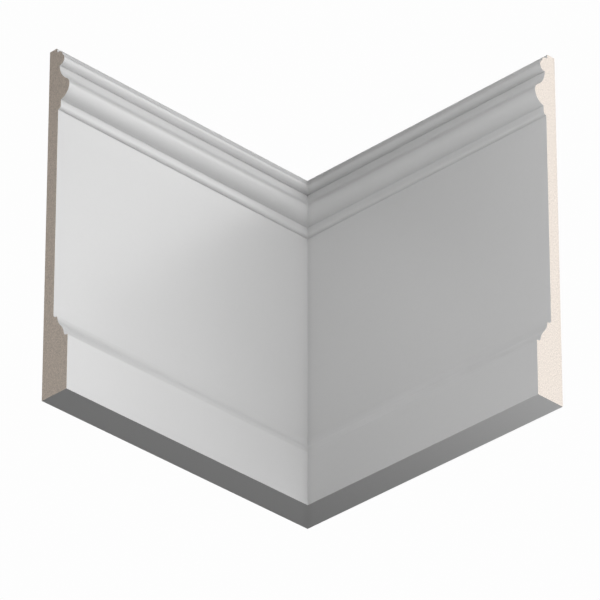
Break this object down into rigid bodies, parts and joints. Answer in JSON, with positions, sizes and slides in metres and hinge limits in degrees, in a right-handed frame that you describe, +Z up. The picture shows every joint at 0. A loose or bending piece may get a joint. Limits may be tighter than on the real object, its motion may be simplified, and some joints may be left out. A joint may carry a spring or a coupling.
{
  "type": "skirting board",
  "caption": "Moulded skirting board turning an inside corner with a mitre: plinth, ogee, flat panel, torus, cove and bead, in white primer with bare cut ends.",
  "frame": {"origin": "the corner of the room at floor level, where the backs of both boards meet the underside", "axes": "+Z up; the left board runs along -Y with its back on X = 0, the right board runs along +X with its back on Y = 0, and both face into the room, which is the +X, -Y quarter"},
  "size_m": [0.16, 0.167, 0.184],
  "materials": {
    "primed_fibreboard": "satin white primer on medium-density fibreboard, with the square-cut ends left bare and light brown"
  },
  "bodies": {
    "root": {"left_board": "primed_fibreboard", "right_board": "primed_fibreboard"}
  },
  "joints": []
}
